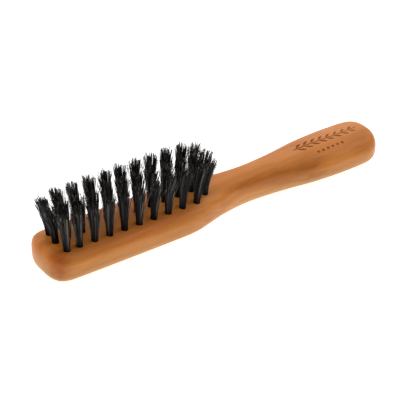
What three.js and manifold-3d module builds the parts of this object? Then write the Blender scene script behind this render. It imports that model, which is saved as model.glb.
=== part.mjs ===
// A beard brush: one wooden body made of a head, a waisted neck and a handle, and rows of
// blind holes in the head, each of which holds the root of one folded tuft of bristle.
// Millimetres, +Z up. The origin lies on the surface that the flat back rests on, below the
// middle of the brush. +X runs along the brush from the head to the end of the handle.
import * as THREE from 'three';
import { mergeVertices } from 'three/addons/utils/BufferGeometryUtils.js';
import Module from 'manifold-3d';

const wasm = await Module();
wasm.setup();

// Wooden body: half width and height of the top above the back, at places along X.
const LENGTH = 168;
const BODY_RAIL = [
  { x: -84, halfWidth: 13.9, top: 13.35 },
  { x: -60, halfWidth: 14.15, top: 13.35 },
  { x: -28, halfWidth: 14.0, top: 13.35 },
  { x: -16, halfWidth: 13.5, top: 13.5 },
  { x: -8, halfWidth: 11.4, top: 13.8 },
  { x: 0, halfWidth: 9.1, top: 14.15 },
  { x: 10, halfWidth: 7.45, top: 14.45 },
  { x: 20, halfWidth: 7.3, top: 14.5 },
  { x: 33, halfWidth: 8.8, top: 14.65 },
  { x: 48, halfWidth: 11.55, top: 14.85 },
  { x: 64, halfWidth: 12.45, top: 15.1 },
  { x: 84, halfWidth: 11.4, top: 15.25 },
];

// The section is a superellipse. Its exponent falls from the squarer head to the rounder neck.
const HEAD_SQUARENESS = 3.2;
const HANDLE_SQUARENESS = 2.45;
const SQUARENESS_CHANGE = { from: -20, to: 15 };
const BACK_PLANED = 0.35; // depth that the flat back takes off the rounded section

// Each end closes over a length of its own in plan and in side view.
const END_ROUNDNESS = 2.3;
const HEAD_END = { plan: 9.2, side: 4.7 };
const HANDLE_END = { plan: 10.5, side: 6.5 };

// Fineness of the faceted body.
const STATIONS = 38;
const SECTION_POINTS = 32;

// Holes and tufts.
const HOLE_RADIUS = 1.5;
const HOLE_DEPTH = 8;
const HOLE_SIDES = 12;
const CLEARANCE = 0.3; // between a tuft's root and its hole
const ROOT_CHAMFER = 0.4; // at the lower end of a tuft's root
const TRIM_HEIGHT = 31; // the bristle ends are cut to this height above the back
const TIP_RADIUS = 2.4; // a tuft opens out to this radius at its tips
const OPEN_HALF_WAY = 0.4; // the share of that opening out which is done half way up
const TIP_CROWN = 0.6; // how far the middle of a tuft's tips stands above their rim
const TUFT_SIDES = 10;

// Three rows of holes. A row has evenly pitched holes and one more at each end, where the
// outer rows follow the rounded head and the tapering neck inwards.
const ROW_SPACING = 7.7;
const ROWS = [
  {
    name: 'front',
    y: -ROW_SPACING,
    firstX: -69.6,
    pitch: 7,
    count: 9,
    ends: [[-75.3, -7.6], [-7.6, -4.9]],
  },
  {
    name: 'middle',
    y: 0,
    firstX: -70.5,
    pitch: 6.6,
    count: 10,
    ends: [[-76.4, -0.6], [-6.1, 0.1]],
  },
  {
    name: 'back',
    y: ROW_SPACING,
    firstX: -68.7,
    pitch: 7.1,
    count: 9,
    ends: [[-75.4, 5.9], [-7.4, 5.1]],
  },
];

// The tufts fan out. A tip stands further from the fan's middle than its root does.
const FAN_MIDDLE_X = -44;
const FAN_ALONG = 0.07; // mm of lean for each mm along X
const FAN_ACROSS = 0.2; // mm of lean for each mm along Y

// A few tufts lean further towards the handle than the fan does: by how much at their tips.
const OWN_LEAN = { tuft_back_02: 0.9, tuft_back_04: 0.9, tuft_back_05: 0.5, tuft_back_06: 0.5 };

const WOOD = { color: 0xb97a48, roughness: 0.5, metalness: 0 };
const BRISTLE = { color: 0x17171a, roughness: 0.45, metalness: 0 };

const rail = new THREE.CubicInterpolant(
  BODY_RAIL.map((p) => p.x),
  BODY_RAIL.flatMap((p) => [p.halfWidth, p.top]),
  2,
);

// From 0 at an end of the body to 1 where its closing curve has run out.
function endCurve(distance, reach) {
  const short = THREE.MathUtils.clamp(1 - distance / reach, 0, 1);
  return (1 - short ** END_ROUNDNESS) ** (1 / END_ROUNDNESS);
}

function sectionAt(x) {
  const [halfWidth, top] = rail.evaluate(x);
  const fromHead = x + LENGTH / 2;
  const fromHandle = LENGTH / 2 - x;
  const planEnd = endCurve(fromHead, HEAD_END.plan) * endCurve(fromHandle, HANDLE_END.plan);
  const sideEnd = endCurve(fromHead, HEAD_END.side) * endCurve(fromHandle, HANDLE_END.side);
  const change = THREE.MathUtils.clamp(
    (x - SQUARENESS_CHANGE.from) / (SQUARENESS_CHANGE.to - SQUARENESS_CHANGE.from),
    0,
    1,
  );
  return {
    halfWidth: halfWidth * planEnd,
    halfHeight: ((top + BACK_PLANED) / 2) * sideEnd,
    middle: (top - BACK_PLANED) / 2,
    exponent: THREE.MathUtils.lerp(HEAD_SQUARENESS, HANDLE_SQUARENESS, change),
  };
}

// Height of the body's upper surface above the back.
function surfaceHeight(x, y) {
  const { halfWidth, halfHeight, middle, exponent } = sectionAt(x);
  const across = Math.abs(y / halfWidth);
  return middle + halfHeight * (1 - across ** exponent) ** (1 / exponent);
}

const signedPower = (value, power) => Math.sign(value) * Math.abs(value) ** power;

// A closed skin over rings of points, with a single point at each end.
function loftedGeometry(rings, firstPoint, lastPoint) {
  const size = rings[0].length;
  const points = [firstPoint, ...rings.flat(), lastPoint];
  const last = points.length - 1;
  const faces = [];
  for (let j = 0; j < size; j += 1) {
    const next = (j + 1) % size;
    faces.push(0, 1 + next, 1 + j);
    for (let i = 0; i < rings.length - 1; i += 1) {
      const here = 1 + i * size;
      const there = here + size;
      faces.push(here + j, here + next, there + next);
      faces.push(here + j, there + next, there + j);
    }
    faces.push(last - size + j, last - size + next, last);
  }
  const geometry = new THREE.BufferGeometry().setFromPoints(points);
  geometry.setIndex(faces);
  return geometry;
}

function bodyGeometry() {
  const rings = [];
  for (let i = 1; i < STATIONS; i += 1) {
    const x = (-LENGTH / 2) * Math.cos((Math.PI * i) / STATIONS);
    const { halfWidth, halfHeight, middle, exponent } = sectionAt(x);
    const ring = [];
    for (let j = 0; j < SECTION_POINTS; j += 1) {
      const angle = (2 * Math.PI * j) / SECTION_POINTS;
      const y = halfWidth * signedPower(Math.cos(angle), 2 / exponent);
      const z = middle + halfHeight * signedPower(Math.sin(angle), 2 / exponent);
      ring.push(new THREE.Vector3(x, y, Math.max(z, 0)));
    }
    rings.push(ring);
  }
  const headTip = new THREE.Vector3(-LENGTH / 2, 0, sectionAt(-LENGTH / 2).middle);
  const handleTip = new THREE.Vector3(LENGTH / 2, 0, sectionAt(LENGTH / 2).middle);
  return loftedGeometry(rings, headTip, handleTip);
}

const SAME_POINT = 1e-4; // points closer than this are one

function toManifold(geometry) {
  const bare = geometry.clone();
  bare.deleteAttribute('normal');
  bare.deleteAttribute('uv');
  const merged = mergeVertices(bare, SAME_POINT);
  return new wasm.Manifold(
    new wasm.Mesh({
      numProp: 3,
      vertProperties: new Float32Array(merged.attributes.position.array),
      triVerts: new Uint32Array(merged.index.array),
    }),
  );
}

function fromManifold(solid) {
  const mesh = solid.getMesh();
  const geometry = new THREE.BufferGeometry();
  geometry.setAttribute('position', new THREE.BufferAttribute(new Float32Array(mesh.vertProperties), 3));
  geometry.setIndex(new THREE.BufferAttribute(new Uint32Array(mesh.triVerts), 1));
  geometry.computeVertexNormals();
  return geometry;
}

// A blind hole's cutter: it reaches from the floor of the hole to just above the surface.
const CUTTER_OVERSHOOT = 1;

function holeGeometry({ x, y, mouth }) {
  const height = HOLE_DEPTH + CUTTER_OVERSHOOT;
  const cutter = new THREE.CylinderGeometry(HOLE_RADIUS, HOLE_RADIUS, height, HOLE_SIDES);
  cutter.rotateX(Math.PI / 2);
  return cutter.translate(x, y, mouth - HOLE_DEPTH + height / 2);
}

function woodBody(holes) {
  let solid = toManifold(bodyGeometry());
  for (const hole of holes) {
    solid = solid.subtract(toManifold(holeGeometry(hole)));
  }
  const mesh = new THREE.Mesh(fromManifold(solid), new THREE.MeshStandardMaterial(WOOD));
  mesh.name = 'wood_body';
  return mesh;
}

// A tuft about its own Z axis with the hole's mouth at height 0: a straight root below it,
// and above it bristles that open out to the tips. It leans as a whole above the mouth.
function tuft({ name, x, y, mouth }) {
  const rootRadius = HOLE_RADIUS - CLEARANCE;
  const rootEnd = CLEARANCE - HOLE_DEPTH;
  const tipHeight = TRIM_HEIGHT - mouth;
  const profile = [
    new THREE.Vector2(0, rootEnd),
    new THREE.Vector2(rootRadius - ROOT_CHAMFER, rootEnd),
    new THREE.Vector2(rootRadius, rootEnd + ROOT_CHAMFER),
    new THREE.Vector2(rootRadius, 0),
    new THREE.Vector2(THREE.MathUtils.lerp(rootRadius, TIP_RADIUS, OPEN_HALF_WAY), tipHeight / 2),
    new THREE.Vector2(TIP_RADIUS, tipHeight - TIP_CROWN),
    new THREE.Vector2(0, tipHeight),
  ];
  const geometry = new THREE.LatheGeometry(profile, TUFT_SIDES);
  geometry.rotateX(Math.PI / 2);
  const leanX = FAN_ALONG * (x - FAN_MIDDLE_X) + (OWN_LEAN[name] ?? 0);
  const leanY = FAN_ACROSS * y;
  const points = geometry.attributes.position;
  for (let i = 0; i < points.count; i += 1) {
    const rise = Math.max(points.getZ(i), 0) / tipHeight;
    points.setX(i, points.getX(i) + leanX * rise);
    points.setY(i, points.getY(i) + leanY * rise);
  }
  geometry.computeVertexNormals();
  const mesh = new THREE.Mesh(geometry, new THREE.MeshStandardMaterial(BRISTLE));
  mesh.name = name;
  mesh.position.set(x, y, mouth);
  return mesh;
}

// Every hole of the pattern, row by row, from the head's end to the neck.
function holePattern() {
  const holes = [];
  for (const { name, y, firstX, pitch, count, ends } of ROWS) {
    const even = Array.from({ length: count }, (_, i) => [firstX + i * pitch, y]);
    [ends[0], ...even, ends[1]].forEach(([holeX, holeY], i) => {
      const number = String(i + 1).padStart(2, '0');
      const mouth = surfaceHeight(holeX, holeY);
      holes.push({ name: `tuft_${name}_${number}`, x: holeX, y: holeY, mouth });
    });
  }
  return holes;
}

const holes = holePattern();
const group = new THREE.Group();
group.add(woodBody(holes));
for (const hole of holes) {
  group.add(tuft(hole));
}

export default group;
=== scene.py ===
import math

import bmesh
import bpy
import numpy as np
from mathutils import Matrix, Vector


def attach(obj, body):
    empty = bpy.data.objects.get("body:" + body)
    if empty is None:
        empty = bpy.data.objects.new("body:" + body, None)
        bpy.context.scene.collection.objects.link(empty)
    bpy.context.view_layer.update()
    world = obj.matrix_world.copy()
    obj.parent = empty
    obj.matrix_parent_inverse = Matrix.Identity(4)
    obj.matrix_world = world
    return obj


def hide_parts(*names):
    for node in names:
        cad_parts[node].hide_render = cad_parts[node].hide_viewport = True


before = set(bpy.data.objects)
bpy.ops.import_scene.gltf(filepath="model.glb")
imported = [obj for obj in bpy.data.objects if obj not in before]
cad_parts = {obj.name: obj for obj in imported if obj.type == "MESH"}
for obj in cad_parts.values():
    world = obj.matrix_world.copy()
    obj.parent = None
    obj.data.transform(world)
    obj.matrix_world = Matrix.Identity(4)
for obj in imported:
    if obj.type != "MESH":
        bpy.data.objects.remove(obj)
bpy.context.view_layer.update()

# The beard brush in the CAD frame: +X from the head to the handle's end, +Z up, the flat back
# on Z = 0. Blender's unit is the metre. Lengths below are in millimetres unless they say
# otherwise, and are multiplied by MM.
MM = 0.001

# ---------------------------------------------------------------- the wooden body's shape
# The same outline as the CAD body: (x, half width, height of the top above the back).
BODY_RAIL = np.array([
    (-84, 13.9, 13.35), (-60, 14.15, 13.35), (-28, 14.0, 13.35), (-16, 13.5, 13.5),
    (-8, 11.4, 13.8), (0, 9.1, 14.15), (10, 7.45, 14.45), (20, 7.3, 14.5),
    (33, 8.8, 14.65), (48, 11.55, 14.85), (64, 12.45, 15.1), (84, 11.4, 15.25),
])
LENGTH = 168.0
HEAD_SQUARENESS, HANDLE_SQUARENESS = 3.2, 2.45
SQUARENESS_FROM, SQUARENESS_TO = -20.0, 15.0
BACK_PLANED = 0.35  # depth that the flat back takes off the rounded section
END_ROUNDNESS = 2.3
HEAD_END_PLAN, HEAD_END_SIDE = 9.2, 4.7
HANDLE_END_PLAN, HANDLE_END_SIDE = 10.5, 6.5
BODY_STATIONS = 240
SECTION_POINTS = 112
SECTION_STEPS = 720  # walked round a section before its points are spaced evenly
SHARP_EDGE = math.radians(38)  # faces of the body that meet at more than this stay crisp

HOLE_RADIUS = 1.5
HOLE_DEPTH = 8.0
HOLE_RIM = 0.12  # the drilled rim's small bevel
HOLE_SIDES = 32
CUTTER_OVERSHOOT = 1.0  # how far a drill shape stands above the surface that it cuts


def rail_at(x):
    """Half width and top height at each x, by cubic pieces with the slopes of their neighbours."""
    places, values = BODY_RAIL[:, 0], BODY_RAIL[:, 1:]
    slopes = np.empty_like(values)
    slopes[1:-1] = (values[2:] - values[:-2]) / (places[2:] - places[:-2])[:, None]
    first = (values[1] - values[0]) / (places[1] - places[0])
    last = (values[-1] - values[-2]) / (places[-1] - places[-2])
    slopes[0] = (3 * first - slopes[1]) / 2
    slopes[-1] = (3 * last - slopes[-2]) / 2
    i = np.clip(np.searchsorted(places, x, side="right") - 1, 0, len(places) - 2)
    span = (places[i + 1] - places[i])[:, None]
    t = (x - places[i])[:, None] / span
    return (
        (2 * t**3 - 3 * t**2 + 1) * values[i]
        + (t**3 - 2 * t**2 + t) * span * slopes[i]
        + (3 * t**2 - 2 * t**3) * values[i + 1]
        + (t**3 - t**2) * span * slopes[i + 1]
    )


def end_curve(distance, reach):
    """From 0 at an end of the body to 1 where its closing curve has run out."""
    short = np.clip(1 - distance / reach, 0, 1)
    return (1 - short**END_ROUNDNESS) ** (1 / END_ROUNDNESS)


def section_at(x):
    """Half width, half height, middle height and superellipse exponent at each x."""
    x = np.atleast_1d(np.asarray(x, float))
    half_width, top = rail_at(x).T
    from_head, from_handle = x + LENGTH / 2, LENGTH / 2 - x
    plan = end_curve(from_head, HEAD_END_PLAN) * end_curve(from_handle, HANDLE_END_PLAN)
    side = end_curve(from_head, HEAD_END_SIDE) * end_curve(from_handle, HANDLE_END_SIDE)
    change = np.clip((x - SQUARENESS_FROM) / (SQUARENESS_TO - SQUARENESS_FROM), 0, 1)
    exponent = HEAD_SQUARENESS + (HANDLE_SQUARENESS - HEAD_SQUARENESS) * change
    return half_width * plan, (top + BACK_PLANED) / 2 * side, (top - BACK_PLANED) / 2, exponent


def surface_height(x, y):
    """Height of the body's upper surface above the back."""
    half_width, half_height, middle, exponent = section_at(x)
    across = np.clip(np.abs(y / half_width), 0, 1)
    return middle + half_height * (1 - across**exponent) ** (1 / exponent)


def mesh_object(name, vertices, faces, materials):
    """A new smooth-shaded object. The vertices are in millimetres."""
    mesh = bpy.data.meshes.new(name)
    mesh.from_pydata((np.asarray(vertices) * MM).tolist(), [], faces)
    mesh.validate()
    mesh.shade_smooth()
    for material in materials:
        mesh.materials.append(material)
    piece = bpy.data.objects.new(name, mesh)
    bpy.context.scene.collection.objects.link(piece)
    return piece


def ring_faces(rings, size, start=0):
    """Quads between rings of points that follow each other."""
    faces = []
    for i in range(rings - 1):
        for j in range(size):
            here = start + i * size
            after = (j + 1) % size
            faces.append((here + j, here + after, here + size + after, here + size + j))
    return faces


def body_section(x):
    """SECTION_POINTS points evenly spaced round the body at x, from +Y over the top."""
    half_width, half_height, middle, exponent = (v[0] for v in section_at(x))
    angle = np.linspace(0, 2 * math.pi, SECTION_STEPS + 1)
    cosine, sine = np.cos(angle), np.sin(angle)
    y = half_width * np.sign(cosine) * np.abs(cosine) ** (2 / exponent)
    z = middle + half_height * np.sign(sine) * np.abs(sine) ** (2 / exponent)
    z = np.maximum(z, 0)
    walked = np.concatenate([[0], np.cumsum(np.hypot(np.diff(y), np.diff(z)))])
    even = np.linspace(0, walked[-1], SECTION_POINTS + 1)[:-1]
    return np.interp(even, walked, y), np.interp(even, walked, z)


def lofted_body(materials):
    """Rings of the section along X, closer together towards the ends, and a point at each end."""
    points = []
    for i in range(1, BODY_STATIONS):
        x = -LENGTH / 2 * math.cos(math.pi * i / BODY_STATIONS)
        y, z = body_section(x)
        points.extend(zip([x] * SECTION_POINTS, y, z))
    faces = ring_faces(BODY_STATIONS - 1, SECTION_POINTS)
    head_tip, handle_tip = len(points), len(points) + 1
    points.append((-LENGTH / 2, 0, section_at(-LENGTH / 2)[2][0]))
    points.append((LENGTH / 2, 0, section_at(LENGTH / 2)[2][0]))
    last_ring = (BODY_STATIONS - 2) * SECTION_POINTS
    for j in range(SECTION_POINTS):
        after = (j + 1) % SECTION_POINTS
        faces.append((head_tip, after, j))
        faces.append((last_ring + j, last_ring + after, handle_tip))
    return mesh_object("wood_body_fine", points, faces, materials)


# ---------------------------------------------------------------- materials
WHITE = (1.0, 1.0, 1.0)


def node_material(name):
    """A new material, with its node tree and its Principled shader."""
    material = bpy.data.materials.new(name)
    material.use_nodes = True
    tree = material.node_tree
    return material, tree, tree.nodes["Principled BSDF"]


def add_node(tree, kind, inputs=None, **settings):
    """A node with its settings made and its input sockets set or linked by name or number."""
    node = tree.nodes.new(kind)
    for key, value in settings.items():
        setattr(node, key, value)
    for key, value in (inputs or {}).items():
        if isinstance(value, bpy.types.NodeSocket):
            tree.links.new(value, node.inputs[key])
        else:
            node.inputs[key].default_value = value
    return node


def colour_ramp(tree, factor, stops):
    """A ramp of (position, linear colour) stops."""
    node = add_node(tree, "ShaderNodeValToRGB", {"Fac": factor})
    while len(node.color_ramp.elements) < len(stops):
        node.color_ramp.elements.new(0.5)
    for element, (position, colour) in zip(node.color_ramp.elements, stops):
        element.position = position
        element.color = (*colour, 1)
    return node.outputs["Color"]


def stretched(tree, coordinates, scale):
    """Coordinates scaled along each axis, for texture that is longer one way than another."""
    return add_node(tree, "ShaderNodeMapping", {"Vector": coordinates, "Scale": scale}).outputs[0]


def noise(tree, vector, scale, detail, roughness=0.5):
    inputs = {"Vector": vector, "Scale": scale, "Detail": detail, "Roughness": roughness}
    return add_node(tree, "ShaderNodeTexNoise", inputs).outputs["Fac"]


def mixed(tree, blend, factor, first, second):
    """Two colours blended. Mix has sockets of the same name, so its own are found by identifier."""
    node = add_node(tree, "ShaderNodeMix", data_type="RGBA", blend_type=blend)
    for socket, value in (("Factor_Float", factor), ("A_Color", first), ("B_Color", second)):
        target = next(s for s in node.inputs if s.identifier == socket)
        if isinstance(value, bpy.types.NodeSocket):
            tree.links.new(value, target)
        else:
            target.default_value = value
    return next(s for s in node.outputs if s.identifier == "Result_Color")


def maths(tree, operation, *values):
    """One step of arithmetic. MULTIPLY_ADD is the first times the second plus the third."""
    node = add_node(tree, "ShaderNodeMath", dict(enumerate(values)), operation=operation)
    return node.outputs[0]


def grain(tree, place, along, across, detail=3, roughness=0.5):
    """Noise in features of the given lengths, in millimetres, drawn out along X."""
    scale = (1 / (along * MM), 1 / (across * MM), 1 / (across * MM))
    return noise(tree, stretched(tree, place, scale), 1.0, detail, roughness)


def grey_ramp(tree, factor, stops):
    """A ramp of (position, linear grey) stops."""
    return colour_ramp(tree, factor, [(position, (grey,) * 3) for position, grey in stops])


def blob(tree, place, middle, reach):
    """0 at the middle, 0.5 at a distance of reach (along each axis), and on outwards."""
    scale = [0.5 / (length * MM) for length in reach]
    location = [-position * MM * k for position, k in zip(middle, scale)]
    inside = {"Vector": place, "Location": location, "Scale": scale}
    scaled = add_node(tree, "ShaderNodeMapping", inside).outputs[0]
    return add_node(tree, "ShaderNodeVectorMath", {0: scaled}, operation="LENGTH").outputs["Value"]


# The wood's grain: how long and how wide each kind of feature is.
CLOUD_LENGTH, CLOUD_WIDTH = 34, 6.5
STREAK_LENGTH, STREAK_WIDTH = 13, 0.9
FIBRE_LENGTH, FIBRE_WIDTH = 3.0, 0.17
PORES_PER_METRE = (420, 3300, 3300)

# Growth rings stand round a pith that lies below the brush and in front of it.
PITH_Y, PITH_Z = -48, -35
RINGS_PER_METRE = 340.0
RING_WANDER = 12  # how far the cloud pushes a ring about

# Light, middle and dark tones (linear). Redder tones on top pass into paler, yellower tones
# towards the flat back.
UPPER_TONES = [(0.78, 0.278, 0.056), (0.72, 0.241, 0.042), (0.61, 0.185, 0.027)]
LOWER_TONES = [(0.7, 0.34, 0.118), (0.64, 0.302, 0.102), (0.57, 0.25, 0.077)]
LOWER_TONES_TOP = 0.37  # the height, as a share of the passage, up to which all is the lower tone
PASSAGE_HEIGHT = 9.5
PASSAGE_FRAY = 0.18  # how much the streaks fray the passage

# The lowest few millimetres are darker.
LOWEST_HEIGHT = 6.5
LOWEST_TINT = (0.84, 0.92, 0.93)

# Stains, and patches of painted light and shade: the middle and reach of each, how much the
# cloud frays it, the places on its blob at which its tint is full and has gone, and the tint that
# multiplies the wood's own colour.
STAINS_AND_PAINTED_LIGHT = {
    # Heartwood in the front flank of the neck and handle, with a darker core.
    "flank": {
        "middle": (24, -9, 9), "reach": (52, 7, 6), "fray": 1.05,
        "fade": (0.7, 1.0), "tint": (0.78, 0.72, 0.7),
    },
    "flank_core": {
        "middle": (30, -8, 11.2), "reach": (26, 4, 3), "fray": 2.2,
        "fade": (0.8, 1.0), "tint": (0.86, 0.66, 0.7),
    },
    # Painted shade: the head's front corner, which faces away from the lamps, is drawn darker.
    "head_corner_shade": {
        "middle": (-80.8, -10.4, 8.6), "reach": (4.5, 4.5, 5.5), "fray": 0.5,
        "fade": (0.45, 0.9), "tint": (0.84, 0.63, 0.56),
    },
    # The front shoulder of the handle's end.
    "handle_shoulder": {
        "middle": (71, -9.5, 11), "reach": (13, 4, 3.5), "fray": 0.8,
        "fade": (0.55, 1.0), "tint": (0.83, 0.8, 0.9),
    },
    # Painted shade: the upper front edge of the head, beside the tufts, is drawn redder and a
    # little darker, for the shade and the light bounced about the tufts.
    "head_edge_shade": {
        "middle": (-48, -12.5, 12), "reach": (38, 4, 3), "fray": 0.0,
        "fade": (0.25, 0.5), "tint": (1.02, 0.9, 0.84),
    },
    # The lower front flank of the handle.
    "handle_keel": {
        "middle": (58, -9, 2.5), "reach": (34, 8, 5.5), "fray": 0.0,
        "fade": (0.3, 0.6), "tint": (0.82, 0.86, 0.9),
    },
    # Painted light: the top of the head's end is drawn paler and warmer, for light from the front
    # left that the lamps don't give.
    "head_crest_light": {
        "middle": (-82, 0, 13), "reach": (12, 13, 4), "fray": 0.0,
        "fade": (0.2, 0.6), "tint": (1.25, 1.14, 0.9),
    },
}

# Where the engraving was burnt in.
BURNT_TINT = (0.55, 0.45, 0.4, 1)
BURNT_ROUGHNESS, OILED_ROUGHNESS = 0.6, 0.31
BURNT_SPECULAR, OILED_SPECULAR = 0.05, 0.16


def growth_rings(tree, parts, cloud):
    """From 0 to 1 across each growth ring."""
    across = maths(tree, "ADD", parts["Y"], -PITH_Y * MM)
    height = maths(tree, "ADD", parts["Z"], -PITH_Z * MM)
    squares = maths(tree, "MULTIPLY_ADD", across, across, maths(tree, "MULTIPLY", height, height))
    radius = maths(tree, "MULTIPLY_ADD", cloud, RING_WANDER * MM, maths(tree, "SQRT", squares))
    return maths(tree, "FRACT", maths(tree, "MULTIPLY", radius, RINGS_PER_METRE))


def wood_tone(tree, parts, cloud, streak):
    """Redder tones above and paler tones below, each clouded."""
    tones = []
    for light, middle, dark in (LOWER_TONES, UPPER_TONES):
        tones.append(colour_ramp(tree, cloud, [(0.28, dark), (0.5, middle), (0.72, light)]))
    rise = maths(tree, "MULTIPLY_ADD", parts["Z"], 1 / (PASSAGE_HEIGHT * MM), -LOWER_TONES_TOP)
    rise = maths(tree, "MULTIPLY_ADD", streak, PASSAGE_FRAY, rise)
    return mixed(tree, "MIX", grey_ramp(tree, rise, [(0.0, 0.0), (1.0, 1.0)]), *tones)


def stain_and_light_patch(tree, place, cloud, middle, reach, fray, fade, tint):
    """A tint for the middle of a blob that fades out to white."""
    distance = blob(tree, place, middle, reach)
    if fray:
        distance = maths(tree, "MULTIPLY_ADD", cloud, fray, distance)
    return colour_ramp(tree, distance, [(fade[0], tint), (fade[1], WHITE)])


def wood_material(name, burnt):
    """Oiled pear wood: growth rings about a far pith, streaks, and fine short pores along X."""
    material, tree, shader = node_material(name)
    place = add_node(tree, "ShaderNodeTexCoord").outputs["Object"]
    parts = add_node(tree, "ShaderNodeSeparateXYZ", {"Vector": place}).outputs
    cloud = grain(tree, place, CLOUD_LENGTH, CLOUD_WIDTH, 3, 0.55)
    streak = grain(tree, place, STREAK_LENGTH, STREAK_WIDTH, 4, 0.6)
    fibre = grain(tree, place, FIBRE_LENGTH, FIBRE_WIDTH, 2)
    pore = add_node(
        tree, "ShaderNodeTexVoronoi",
        {"Vector": stretched(tree, place, PORES_PER_METRE), "Scale": 1.0}, feature="F1",
    ).outputs["Distance"]
    ring = growth_rings(tree, parts, cloud)

    colour = wood_tone(tree, parts, cloud, streak)
    layers = [
        (0.4, grey_ramp(tree, ring, [(0.0, 0.98), (0.5, 1.03), (0.88, 0.88), (1.0, 0.98)])),
        (0.42, grey_ramp(tree, streak, [(0.3, 0.86), (0.7, 1.12)])),
        (0.5, grey_ramp(tree, fibre, [(0.3, 0.9), (0.7, 1.08)])),
        (0.8, colour_ramp(tree, pore, [(0.05, (0.7, 0.62, 0.55)), (0.2, WHITE)])),
    ]
    # Stains, and patches of painted light and shade, each multiply the colour.
    layers += [(1.0, stain_and_light_patch(tree, place, cloud, **traits)) for traits in STAINS_AND_PAINTED_LIGHT.values()]
    lowest = maths(tree, "MULTIPLY", parts["Z"], 1 / (LOWEST_HEIGHT * MM))
    layers.append((1.0, colour_ramp(tree, lowest, [(0.0, LOWEST_TINT), (1.0, WHITE)])))
    for strength, layer in layers:
        colour = mixed(tree, "MULTIPLY", strength, colour, layer)
    if burnt:
        colour = mixed(tree, "MULTIPLY", 1.0, colour, BURNT_TINT)
    tree.links.new(colour, shader.inputs["Base Color"])

    least = BURNT_ROUGHNESS if burnt else OILED_ROUGHNESS
    tree.links.new(maths(tree, "MULTIPLY_ADD", streak, 0.1, least), shader.inputs["Roughness"])
    shader.inputs["Specular IOR Level"].default_value = BURNT_SPECULAR if burnt else OILED_SPECULAR
    relief = maths(tree, "MULTIPLY_ADD", fibre, 0.5, maths(tree, "MULTIPLY", streak, 0.5))
    bump = add_node(
        tree, "ShaderNodeBump", {"Strength": 0.1, "Distance": 0.2 * MM, "Height": relief}
    ).outputs["Normal"]
    tree.links.new(bump, shader.inputs["Normal"])
    return material


# Bristle colours (linear) by each bristle's own shade: mostly black, some grey, a few pale. The
# grey and pale ones are partly the bristles' own colour and partly painted glints.
BRISTLE_SHADES_AND_GLINTS = [
    (0.1, (0.0025, 0.0025, 0.003)),
    (0.45, (0.005, 0.005, 0.007)),
    (0.62, (0.015, 0.017, 0.02)),
    (0.8, (0.085, 0.088, 0.095)),
    (0.95, (0.27, 0.235, 0.2)),
]
# Painted shade: bristles are drawn darker from the tip (1) down to the hole (0), for the shade deep
# in the dense tuft.
PAINTED_ROOT_SHADE = [(0.0, 0.1), (0.13, 0.26), (0.3, 0.6), (0.6, 0.8), (0.8, 0.85)]
# Where the cut end begins, and its colours by each bristle's own pallor.
CUT_END = [(0.88, 0.0), (0.97, 1.0)]
CUT_SHADES = [
    (0.58, (0.01, 0.009, 0.009)),
    (0.85, (0.1, 0.084, 0.072)),
    (1.0, (0.46, 0.38, 0.31)),
]
BRISTLE_SPECULAR = 0.17


def bristle_material():
    """Black bristle. The strand attribute holds its shade, the height along it and its pallor."""
    material, tree, shader = node_material("bristle_black")
    strand = add_node(tree, "ShaderNodeAttribute", attribute_name="strand").outputs["Color"]
    parts = add_node(tree, "ShaderNodeSeparateColor", {"Color": strand}).outputs
    own_shade, height, pallor = parts["Red"], parts["Green"], parts["Blue"]
    place = add_node(tree, "ShaderNodeTexCoord").outputs["Object"]
    mottle = noise(tree, stretched(tree, place, (900, 900, 160)), 1.0, 2)
    mottled = grey_ramp(tree, mottle, [(0.3, 0.6), (0.7, 1.5)])
    # Each bristle's own colour; its grey and pale ones are partly painted glints.
    colour = mixed(tree, "MULTIPLY", 0.5, colour_ramp(tree, own_shade, BRISTLE_SHADES_AND_GLINTS), mottled)
    # Painted shade, darker down towards the hole.
    colour = mixed(tree, "MULTIPLY", 1.0, colour, grey_ramp(tree, height, PAINTED_ROOT_SHADE))
    cut = colour_ramp(tree, pallor, CUT_SHADES)
    colour = mixed(tree, "MIX", grey_ramp(tree, height, CUT_END), colour, cut)
    tree.links.new(colour, shader.inputs["Base Color"])
    tree.links.new(maths(tree, "MULTIPLY_ADD", mottle, 0.2, 0.3), shader.inputs["Roughness"])
    shader.inputs["Specular IOR Level"].default_value = BRISTLE_SPECULAR
    return material


def anchor_material():
    """Flat drawn steel wire, with fine drawing lines along it."""
    material, tree, shader = node_material("anchor_steel")
    place = add_node(tree, "ShaderNodeTexCoord").outputs["Object"]
    lines = noise(tree, stretched(tree, place, (400, 400, 9000)), 1.0, 3)
    colour = colour_ramp(tree, lines, [(0.3, (0.38, 0.38, 0.39)), (0.7, (0.6, 0.6, 0.61))])
    tree.links.new(colour, shader.inputs["Base Color"])
    tree.links.new(maths(tree, "MULTIPLY_ADD", lines, 0.25, 0.25), shader.inputs["Roughness"])
    shader.inputs["Metallic"].default_value = 1.0
    return material


FLOOR_REACH = 12000  # from the brush to the floor's edges
FLOOR_GLOW = 0.85  # the white table is lit from below, as for a cut-out picture


def floor_material():
    """Plain near-white studio table top."""
    material, tree, shader = node_material("studio_floor")
    place = add_node(tree, "ShaderNodeTexCoord").outputs["Object"]
    paper = noise(tree, place, 300.0, 2)
    colour = grey_ramp(tree, paper, [(0.3, 0.885), (0.7, 0.9)])
    tree.links.new(colour, shader.inputs["Base Color"])
    shader.inputs["Roughness"].default_value = 0.9
    shader.inputs["Specular IOR Level"].default_value = 0.2
    shader.inputs["Emission Color"].default_value = (*WHITE, 1)
    shader.inputs["Emission Strength"].default_value = FLOOR_GLOW
    return material


# ---------------------------------------------------------------- where the tufts stand
SAME_HEIGHT = 0.01  # points of a CAD solid that differ by less are level


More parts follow.
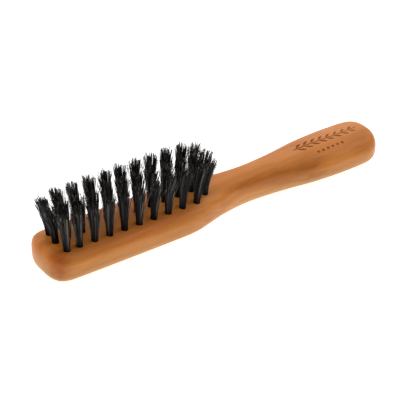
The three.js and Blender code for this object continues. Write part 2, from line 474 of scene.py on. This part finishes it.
def tuft_places():
    """Root and tip of each tuft, in millimetres, from its CAD solid."""
    places = {}
    for name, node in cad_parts.items():
        if name.startswith("tuft_"):
            points = np.array([v.co for v in node.data.vertices]) / MM
            height = points[:, 2]
            low = points[height < height.min() + SAME_HEIGHT].mean(0)
            high = points[height.argmax()]
            mouth = surface_height(low[0], low[1])[0]
            anchor = mouth - HOLE_DEPTH + ROOT_CLEARANCE + STRAND_RADIUS + BUNDLE_RADIUS
            spread = SPREAD[name.split("_")[1]] * OWN_SPREAD.get(name, 1.0)
            places[name] = {
                "x": low[0], "y": low[1], "mouth": mouth, "anchor": anchor,
                "tip": high, "spread": spread,
            }
    return dict(sorted(places.items()))


# ---------------------------------------------------------------- cutters for the body
def hole_cutter(places, materials):
    """One closed drill shape for each hole, with a small bevel at the rim."""
    vertices, faces = [], []
    angle = np.linspace(0, 2 * math.pi, HOLE_SIDES, endpoint=False)
    for spot in places.values():
        rim = surface_height(spot["x"], spot["y"])[0]
        wide = HOLE_RADIUS + 2 * HOLE_RIM
        profile = [
            (HOLE_RADIUS, rim - HOLE_DEPTH), (HOLE_RADIUS, rim - HOLE_RIM),
            (wide, rim + HOLE_RIM), (wide, rim + CUTTER_OVERSHOOT),
        ]
        start = len(vertices)
        for radius, z in profile:
            x = spot["x"] + radius * np.cos(angle)
            y = spot["y"] + radius * np.sin(angle)
            vertices.extend(zip(x, y, [z] * HOLE_SIDES))
        faces += ring_faces(len(profile), HOLE_SIDES, start)
        faces.append(tuple(reversed(range(start, start + HOLE_SIDES))))
        top = start + (len(profile) - 1) * HOLE_SIDES
        faces.append(tuple(range(top, top + HOLE_SIDES)))
    return mesh_object("hole_cutter", vertices, faces, materials)


# A plain leaf sprig engraved on the top of the handle, with a row of lozenges beside it.
SPRIG_FROM, SPRIG_TO = 42.0, 76.0
SPRIG_DEPTH = 0.16
SPRIG_OVERSHOOT = 0.5  # how far its cutter stands above the surface
STEM_POINTS = 40
STEM_HALF_WIDTHS = (0.32, 0.16)  # at the stem's two ends
STEM_WAVE = 0.35  # how far the stem swings to either side, once along its length
LEAF_PAIRS = 8
LEAF_POINTS = 9
LEAF_LENGTH = 4.1
LEAF_HALF_WIDTH = 0.62
LEAST_HALF_WIDTH = 0.03  # at the points of leaves and lozenges
LEAF_SHRINK = 0.35  # from the first pair to the last, as a share of the first
LEAF_ANGLES = (0.85, 0.6)  # to the stem, at a leaf's base and at its point, in radians
LOZENGE_ROW_Y = -6.2
LOZENGE_ROW = np.linspace(51.0, 64.0, 6)
LOZENGE_REACH = 0.75


def ribbon(centre, half_widths, vertices, faces):
    """A closed prism under a strip of the top surface: a centre line and its half widths."""
    centre = np.asarray(centre, float)
    along = np.gradient(centre, axis=0)
    along /= np.linalg.norm(along, axis=1)[:, None]
    side = np.stack([-along[:, 1], along[:, 0]], 1) * np.asarray(half_widths)[:, None]
    left, right = centre + side, centre - side
    start, count = len(vertices), len(centre)
    for edge in (left, right):
        ground = surface_height(edge[:, 0], edge[:, 1])
        for level in (-SPRIG_DEPTH, SPRIG_OVERSHOOT):
            vertices.extend(zip(edge[:, 0], edge[:, 1], ground + level))
    left_low, left_high, right_low, right_high = (start + k * count for k in range(4))
    for i in range(count - 1):
        faces.append((left_low + i, left_low + i + 1, right_low + i + 1, right_low + i))
        faces.append((left_high + i, right_high + i, right_high + i + 1, left_high + i + 1))
        faces.append((left_low + i, left_high + i, left_high + i + 1, left_low + i + 1))
        faces.append((right_low + i, right_low + i + 1, right_high + i + 1, right_high + i))
    faces.append((left_low, right_low, right_high, left_high))
    end = count - 1
    faces.append((left_low + end, left_high + end, right_high + end, right_low + end))


def stem_swing(x):
    """How far the stem stands from the middle line at x."""
    return STEM_WAVE * np.sin(2 * math.pi * (x - SPRIG_FROM) / (SPRIG_TO - SPRIG_FROM))


def sprig_cutter(materials):
    """The stem, its pairs of leaves and the row of lozenges, each a closed prism."""
    vertices, faces = [], []
    stem_x = np.linspace(SPRIG_FROM, SPRIG_TO, STEM_POINTS)
    stem = np.stack([stem_x, stem_swing(stem_x)], 1)
    ribbon(stem, np.linspace(*STEM_HALF_WIDTHS, STEM_POINTS), vertices, faces)
    step = (SPRIG_TO - SPRIG_FROM) / (LEAF_PAIRS + 0.5)
    reach = np.linspace(0, 1, LEAF_POINTS)
    from_stem = LEAF_ANGLES[0] + (LEAF_ANGLES[1] - LEAF_ANGLES[0]) * reach
    for pair in range(LEAF_PAIRS):
        size = 1 - LEAF_SHRINK * pair / LEAF_PAIRS
        base_x = SPRIG_FROM + (pair + 0.45) * step
        base_y = stem_swing(base_x)
        run = 0.5 + reach * LEAF_LENGTH * size
        fat = LEAST_HALF_WIDTH + LEAF_HALF_WIDTH * size * np.sin(math.pi * reach) ** 0.8
        for hand in (1, -1):
            angle = hand * from_stem
            leaf = np.stack([base_x + run * np.cos(angle), base_y + run * np.sin(angle)], 1)
            ribbon(leaf, fat, vertices, faces)
    for middle_x in LOZENGE_ROW:
        across = np.linspace(-LOZENGE_REACH, LOZENGE_REACH, 5)
        line = np.stack([middle_x + across, np.full(5, LOZENGE_ROW_Y)], 1)
        ribbon(line, LEAST_HALF_WIDTH + LOZENGE_REACH - np.abs(across), vertices, faces)
    cutter = mesh_object("sprig_cutter", vertices, faces, materials)
    for face in cutter.data.polygons:
        face.material_index = 1
    return cutter


def cut(piece, cutter):
    """Takes cutter out of piece for good. Cut faces keep the cutter's material number."""
    modifier = piece.modifiers.new("cut", "BOOLEAN")
    modifier.operation = "DIFFERENCE"
    modifier.solver = "EXACT"
    modifier.object = cutter
    graph = bpy.context.evaluated_depsgraph_get()
    result = bpy.data.meshes.new_from_object(piece.evaluated_get(graph), depsgraph=graph)
    piece.modifiers.clear()
    piece.data = result
    bpy.data.objects.remove(cutter)


def make_body(places):
    materials = [wood_material("oiled_wood", False), wood_material("burnt_wood", True)]
    body = lofted_body(materials)
    cut(body, hole_cutter(places, materials))
    cut(body, sprig_cutter(materials))
    body.data.name = "wood_body_fine"
    body.data.shade_smooth()
    body.data.set_sharp_from_angle(angle=SHARP_EDGE)
    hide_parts("wood_body")
    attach(body, "root")


# ---------------------------------------------------------------- bristles and their anchors
FOLDED_BRISTLES = 54  # in each tuft; each gives two free ends
BUNDLE_RADIUS = 1.26  # of the centre lines where a tuft leaves its hole
STRAND_RADIUS = 0.125
STRAND_SIDES = 5
ROOT_CLEARANCE = 0.25  # between the lowest fold and the floor of the hole
ANCHOR_THICKNESS = 0.36
ANCHOR_HEIGHT = 1.7
ANCHOR_BITE = 0.12  # how far each end of the anchor goes into the wood
ANCHOR_CORNER = 0.25  # cut off each of its lower corners
ANCHOR_BEVEL = 0.05
TIP_CLUMPS = 13  # the bristles of a tuft stand together in so many locks
CLUMP_PULL = 0.18  # how far a bristle is drawn towards the middle of its lock
HIGHEST_TIP = 0.85  # of the longest stray ends above the CAD tuft's top
WIDEST_TIP = 14.5  # of the strays that leave the outer rows, from the brush's middle line
STRAND_TRAITS = ("shade", "pallor", "girth", "taper")
SPREAD = {"front": 1.85, "middle": 2.3, "back": 2.3}  # tip spacing over root spacing
# Tufts whose bristles open out a little more or less than their row's, as a share of it.
OWN_SPREAD = {"tuft_back_05": 1.05, "tuft_back_06": 1.05, "tuft_back_10": 0.85}
HEAD_MIDDLE_X, HEAD_HALF_LENGTH = -41.0, 35.0
END_WEAR = 0.7  # of the outermost tufts

# Chance. A pair is the least and the most of a value, and a noise is its standard deviation.
TUFT_TURN = 0.4  # radians either way from square to the brush
TUFT_LEAN_NOISE = 0.15
TUFT_OPENING = (0.92, 1.08)
TUFT_CROWN = (0.0, 0.3)  # how fast the tips fall off from the tuft's middle
TUFT_TRIM = (0.3, 0.9)  # below the CAD tuft's top
LOCK_LEVEL_NOISE = 0.33
LOCK_LEAN_NOISE = 0.14
LOCK_SHADE_SHARE = 0.4  # of a bristle's shade; the rest is its own
ROOT_NOISE = 0.03
FAN_NOISE = 0.1
TIP_NOISE = 0.1
LEVEL_NOISE = 0.3
BOW_NOISE = 0.05

# The usual free end, and the kinds that differ from it.
USUAL = {"curl": (0.35, 0.7), "girth": (0.85, 1.15), "taper": 0.26}
SHORT = {"share": 0.22, "by": (0.5, 4.5), "fan": (0.0, 0.6)}
LONG = {"share_with_short": 0.34, "by": (0.6, 2.0), "taper": 0.5}
# Strays are outer bristles that leave the tuft sideways. Wild ones leave it by a long way.
STRAY = {
    "share": 0.34, "fan": (0.3, 1.7), "curl": (0.3, 0.85), "level": (-0.8, 0.5),
    "girth": 0.8, "taper": 0.5,
}
WILD = {"share": 0.03, "reach": (1.0, 3.5), "curl": (0.3, 0.7), "girth": 0.75, "taper": 0.5}
COARSE_GLINTING = {"share": 0.09, "shade": (0.78, 1.0), "girth": 1.5}  # thick bristles, drawn greyer as painted glints

# A free end's points: shares of the way from just below the mouth of its hole to its tip.
BELOW_MOUTH = 0.5
RISE_STEPS = np.array([0.0, 0.1, 0.25, 0.42, 0.6, 0.78, 0.92, 1.0])
LATE_BEND = 2.5  # power by which a curled end leaves the straight line
FOLD_STEPS = 6  # half way round the anchor, its two ends counted


def half_disc(count, random):
    """Evenly spread points (along the anchor, away from it) on one side of the anchor."""
    turn = math.pi * (3 - math.sqrt(5))
    i = np.arange(2 * count) + 0.5
    radius = BUNDLE_RADIUS * np.sqrt(i / (2 * count))
    points = np.stack([radius * np.cos(turn * i), radius * np.sin(turn * i)], 1)
    points = points[np.argsort(points[:, 1])][count:]
    return points + random.normal(0, ROOT_NOISE, points.shape)


def worn_down(x):
    """How much lower the tips are cut towards the two ends of the head."""
    from_middle = abs(x - HEAD_MIDDLE_X) / HEAD_HALF_LENGTH
    return END_WEAR * from_middle**4


def beside_anchor(distance):
    """Distance from the anchor's middle plane of a strand that lies this far out at the mouth."""
    nearest = ANCHOR_THICKNESS / 2 + STRAND_RADIUS
    return nearest + np.maximum(distance, 0) * (BUNDLE_RADIUS - nearest) / BUNDLE_RADIUS


def free_end(offset, side, axes, spot, top, curl, random):
    """Points from beside the anchor up to the cut tip at top. A high curl bends out late."""
    along, away = axes
    root = np.array([spot["x"], spot["y"]])
    low = spot["anchor"]
    at_anchor = root + along * offset[0] + away * beside_anchor(offset[1]) * side
    at_mouth = root + along * offset[0] + away * offset[1] * side
    points = [np.array([*at_anchor, low]), np.array([*at_anchor, low + ANCHOR_HEIGHT])]
    wave = random.normal(0, BOW_NOISE, 2)
    start = spot["mouth"] - BELOW_MOUTH
    for t in RISE_STEPS:
        level = start + t * (top[2] - start)
        sideways = (top[:2] - at_mouth) * ((1 - curl) * t + curl * t**LATE_BEND)
        bow = wave * math.sin(math.pi * t)
        points.append(np.array([*(at_mouth + sideways + bow), level]))
    return points


def bristle_end(ground, locks, shape, random):
    """How the end that leaves the hole at ground goes on up to its cut tip."""
    nearest = np.argmin(np.linalg.norm(locks["place"] - ground, axis=1))
    gathered = ground + CLUMP_PULL * (locks["place"][nearest] - ground)
    fan = shape["spread"] + abs(random.normal(0, FAN_NOISE))
    level = shape["trim"] + locks["level"][nearest] + random.normal(0, LEVEL_NOISE)
    level -= shape["crown"] * ground @ ground
    curl = random.uniform(*USUAL["curl"])
    girth = random.uniform(*USUAL["girth"])
    taper = USUAL["taper"]
    chance = random.random()
    if chance < SHORT["share"]:
        level -= random.uniform(*SHORT["by"])
        fan += random.uniform(*SHORT["fan"])
    elif chance < LONG["share_with_short"]:
        level += random.uniform(*LONG["by"])
        taper = LONG["taper"]
    outside = np.linalg.norm(ground) / BUNDLE_RADIUS
    if random.random() < STRAY["share"] * outside:
        fan += random.uniform(*STRAY["fan"])
        curl = random.uniform(*STRAY["curl"])
        level += random.uniform(*STRAY["level"])
        girth, taper = STRAY["girth"], STRAY["taper"]
    aside = gathered * fan + locks["lean"][nearest] + random.normal(0, TIP_NOISE, 2)
    if random.random() < WILD["share"] * outside:
        aside += ground / np.linalg.norm(ground) * random.uniform(*WILD["reach"])
        curl = random.uniform(*WILD["curl"])
        girth, taper = WILD["girth"], WILD["taper"]
    own_shade = random.random()
    shade = LOCK_SHADE_SHARE * locks["shade"][nearest] + (1 - LOCK_SHADE_SHARE) * own_shade
    # Coarse bristles are thicker, and drawn greyer as painted glints.
    if random.random() < COARSE_GLINTING["share"]:
        shade = random.uniform(*COARSE_GLINTING["shade"])
        girth *= COARSE_GLINTING["girth"]
    return {
        "aside": aside, "level": min(level, shape["highest"]), "curl": curl,
        "shade": shade, "pallor": random.random(), "girth": girth, "taper": taper,
    }


def tuft_locks(random):
    """The locks that a tuft's bristles stand together in."""
    angle = random.uniform(0, 2 * math.pi, TIP_CLUMPS)
    out = BUNDLE_RADIUS * np.sqrt(random.uniform(0, 1, TIP_CLUMPS))
    return {
        "place": np.stack([out * np.cos(angle), out * np.sin(angle)], 1),
        "level": random.normal(0, LOCK_LEVEL_NOISE, TIP_CLUMPS),
        "lean": random.normal(0, LOCK_LEAN_NOISE, (TIP_CLUMPS, 2)),
        "shade": random.random(TIP_CLUMPS),
    }


def fold(offset, spot, axes):
    """Points under the anchor from the bristle's first side to its second."""
    along, away = axes
    middle = np.array([spot["x"], spot["y"]]) + along * offset[0]
    depth = beside_anchor(offset[1])
    points = []
    for angle in np.linspace(0, math.pi, FOLD_STEPS)[1:-1]:
        place = middle + away * depth * math.cos(angle)
        points.append(np.array([*place, spot["anchor"] - depth * math.sin(angle)]))
    return points


def tuft_strands(spot, turn, random):
    """The folded bristles of one tuft: each one's centre line, the anchor's line and its ends."""
    root = np.array([spot["x"], spot["y"]])
    lean = spot["tip"][:2] - root + random.normal(0, TUFT_LEAN_NOISE, 2)
    axes = np.array([math.cos(turn), math.sin(turn)]), np.array([-math.sin(turn), math.cos(turn)])
    shape = {
        "spread": spot["spread"] * random.uniform(*TUFT_OPENING),
        "crown": random.uniform(*TUFT_CROWN),
        "trim": spot["tip"][2] - random.uniform(*TUFT_TRIM) - worn_down(spot["x"]),
        "highest": spot["tip"][2] + HIGHEST_TIP,
    }
    locks = tuft_locks(random)
    strands = []
    for offset in half_disc(FOLDED_BRISTLES, random):
        lines, ends = [], []
        for side in (1, -1):
            ground = axes[0] * offset[0] + axes[1] * offset[1] * side
            end = bristle_end(ground, locks, shape, random)
            top = np.array([*(root + lean + end["aside"]), end["level"]])
            top[1] = np.clip(top[1], -WIDEST_TIP, WIDEST_TIP)
            lines.append(free_end(offset, side, axes, spot, top, end["curl"], random))
            ends.append(end)
        strands.append((lines[0][::-1] + fold(offset, spot, axes) + lines[1], axes[0], ends))
    return strands


def tube(points, across, radii):
    """Rings of STRAND_SIDES points round a line that keeps roughly at right angles to across."""
    points = np.asarray(points)
    tangent = np.gradient(points, axis=0)
    tangent /= np.linalg.norm(tangent, axis=1)[:, None]
    flat = np.array([*across, 0.0])
    first = flat - tangent * (tangent @ flat)[:, None]
    first /= np.linalg.norm(first, axis=1)[:, None]
    second = np.cross(tangent, first)
    angle = np.linspace(0, 2 * math.pi, STRAND_SIDES, endpoint=False)[None, :, None]
    ring = first[:, None] * np.cos(angle) + second[:, None] * np.sin(angle)
    return (points[:, None] + ring * radii[:, None, None]).reshape(-1, 3)


def make_tuft(name, spot, material, turn, random):
    """One mesh of closed tubes, with the strand attribute that the bristle material reads."""
    vertices, faces, shades = [], [], []
    for points, across, ends in tuft_strands(spot, turn, random):
        count = len(points)
        height = np.array([p[2] for p in points])
        second = np.arange(count) >= count // 2
        tip = np.where(second, height[-1], height[0])
        rise = np.clip((height - spot["mouth"]) / (tip - spot["mouth"]), 0, 1)
        of_end = {key: np.where(second, ends[1][key], ends[0][key]) for key in STRAND_TRAITS}
        girth = np.where(rise > 0, of_end["girth"], 1)
        radii = STRAND_RADIUS * girth * (1 - of_end["taper"] * rise)
        start = len(vertices)
        vertices.extend(tube(points, across, radii))
        faces += ring_faces(count, STRAND_SIDES, start)
        faces.append(tuple(reversed(range(start, start + STRAND_SIDES))))
        last = start + (count - 1) * STRAND_SIDES
        faces.append(tuple(range(last, last + STRAND_SIDES)))
        for i in range(count):
            shade = (of_end["shade"][i], rise[i], of_end["pallor"][i], 1.0)
            shades.extend([shade] * STRAND_SIDES)
    tuft = mesh_object(name + "_bristles", vertices, faces, [material])
    layer = tuft.data.color_attributes.new("strand", "FLOAT_COLOR", "POINT")
    layer.data.foreach_set("color", np.asarray(shades, np.float32).ravel())
    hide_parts(name)
    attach(tuft, "root")


def make_anchor(name, spot, material, turn):
    """A short flat wire across the fold. Its ends bite the wood, and its edges are eased."""
    half = HOLE_RADIUS + ANCHOR_BITE
    flat = half - ANCHOR_CORNER
    outline = [
        (-flat, 0), (flat, 0), (half, ANCHOR_CORNER), (half, ANCHOR_HEIGHT),
        (-half, ANCHOR_HEIGHT), (-half, ANCHOR_CORNER),
    ]
    mesh = bmesh.new()
    sides = []
    for y in (-ANCHOR_THICKNESS / 2, ANCHOR_THICKNESS / 2):
        sides.append([mesh.verts.new((x * MM, y * MM, z * MM)) for x, z in outline])
    mesh.faces.new(sides[0])
    mesh.faces.new(reversed(sides[1]))
    for i in range(len(outline)):
        after = (i + 1) % len(outline)
        mesh.faces.new((sides[0][after], sides[0][i], sides[1][i], sides[1][after]))
    bmesh.ops.bevel(mesh, geom=mesh.edges[:], offset=ANCHOR_BEVEL * MM, segments=2, affect="EDGES")
    place = Matrix.Translation(Vector((spot["x"], spot["y"], spot["anchor"])) * MM)
    mesh.transform(place @ Matrix.Rotation(turn, 4, "Z"))
    data = bpy.data.meshes.new(name)
    mesh.to_mesh(data)
    mesh.free()
    data.materials.append(material)
    anchor = bpy.data.objects.new(name, data)
    bpy.context.scene.collection.objects.link(anchor)
    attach(anchor, "root")


# ---------------------------------------------------------------- stage, light and camera
WORLD_GLOW = 0.09
LIGHT_DISTANCE = 1.4  # metres
# Name, azimuth from the front (-Y) towards +X and elevation in degrees, width and height in
# metres, watts.
SOFTBOXES = [
    ("right_softbox", 80, 45, (1.2, 1.0), 7.8),
    ("back_softbox", 165, 28, (1.8, 0.9), 4.5),
    ("back_right_softbox", 125, 30, (1.0, 0.9), 3.3),
    ("back_left_softbox", 205, 30, (1.0, 0.9), 3.2),
    ("overhead_softbox", 180, 85, (1.2, 1.2), 5.1),
]


def direction(azimuth, elevation):
    """The unit vector from the brush towards a light or the camera. Angles are in degrees."""
    turn, rise = math.radians(azimuth), math.radians(elevation)
    return Vector((
        math.cos(rise) * math.sin(turn), -math.cos(rise) * math.cos(turn), math.sin(rise),
    ))


def area_light(name, location, size, energy):
    light = bpy.data.lights.new(name, "AREA")
    light.shape = "RECTANGLE"
    light.size, light.size_y = size
    light.energy = energy
    lamp = bpy.data.objects.new(name, light)
    lamp.location = location
    lamp.rotation_euler = location.to_track_quat("Z", "Y").to_euler()
    bpy.context.scene.collection.objects.link(lamp)


def make_stage():
    reach = FLOOR_REACH
    floor = mesh_object(
        "floor", [(-reach, -reach, 0), (reach, -reach, 0), (reach, reach, 0), (-reach, reach, 0)],
        [(0, 1, 2, 3)], [floor_material()],
    )
    world = bpy.data.worlds.new("studio")
    world.use_nodes = True
    background = world.node_tree.nodes["Background"]
    background.inputs["Color"].default_value = (*WHITE, 1)
    background.inputs["Strength"].default_value = WORLD_GLOW
    bpy.context.scene.world = world
    for name, azimuth, elevation, size, energy in SOFTBOXES:
        area_light(name, direction(azimuth, elevation) * LIGHT_DISTANCE, size, energy)


# Degrees, metres, and millimetres of lens and sensor.
CAMERA_AZIMUTH, CAMERA_ELEVATION = -34.52, 32.82
CAMERA_TARGET = Vector((-0.0003, 0.0092, 0.0))
CAMERA_DISTANCE = 0.700
CAMERA_LENS = 147.8
CAMERA_SENSOR = 36.0
CAMERA_CLIP = (0.01, 20.0)


def make_camera():
    towards = direction(CAMERA_AZIMUTH, CAMERA_ELEVATION)
    data = bpy.data.cameras.new("camera")
    data.lens = CAMERA_LENS
    data.sensor_width = CAMERA_SENSOR
    data.clip_start, data.clip_end = CAMERA_CLIP
    camera = bpy.data.objects.new("camera", data)
    camera.location = CAMERA_TARGET + towards * CAMERA_DISTANCE
    camera.rotation_euler = (-towards).to_track_quat("-Z", "Y").to_euler()
    bpy.context.scene.collection.objects.link(camera)
    bpy.context.scene.camera = camera


# ---------------------------------------------------------------- the brush
FIRST_SEED = 100

places = tuft_places()
make_camera()
make_stage()
make_body(places)
bristle, steel = bristle_material(), anchor_material()
for number, (name, spot) in enumerate(places.items()):
    random = np.random.default_rng(FIRST_SEED + number)
    turn = math.pi / 2 + random.uniform(-TUFT_TURN, TUFT_TURN)
    make_tuft(name, spot, bristle, turn, random)
    make_anchor(name.replace("tuft", "anchor"), spot, steel, turn)

bpy.context.scene.view_settings.view_transform = "Standard"
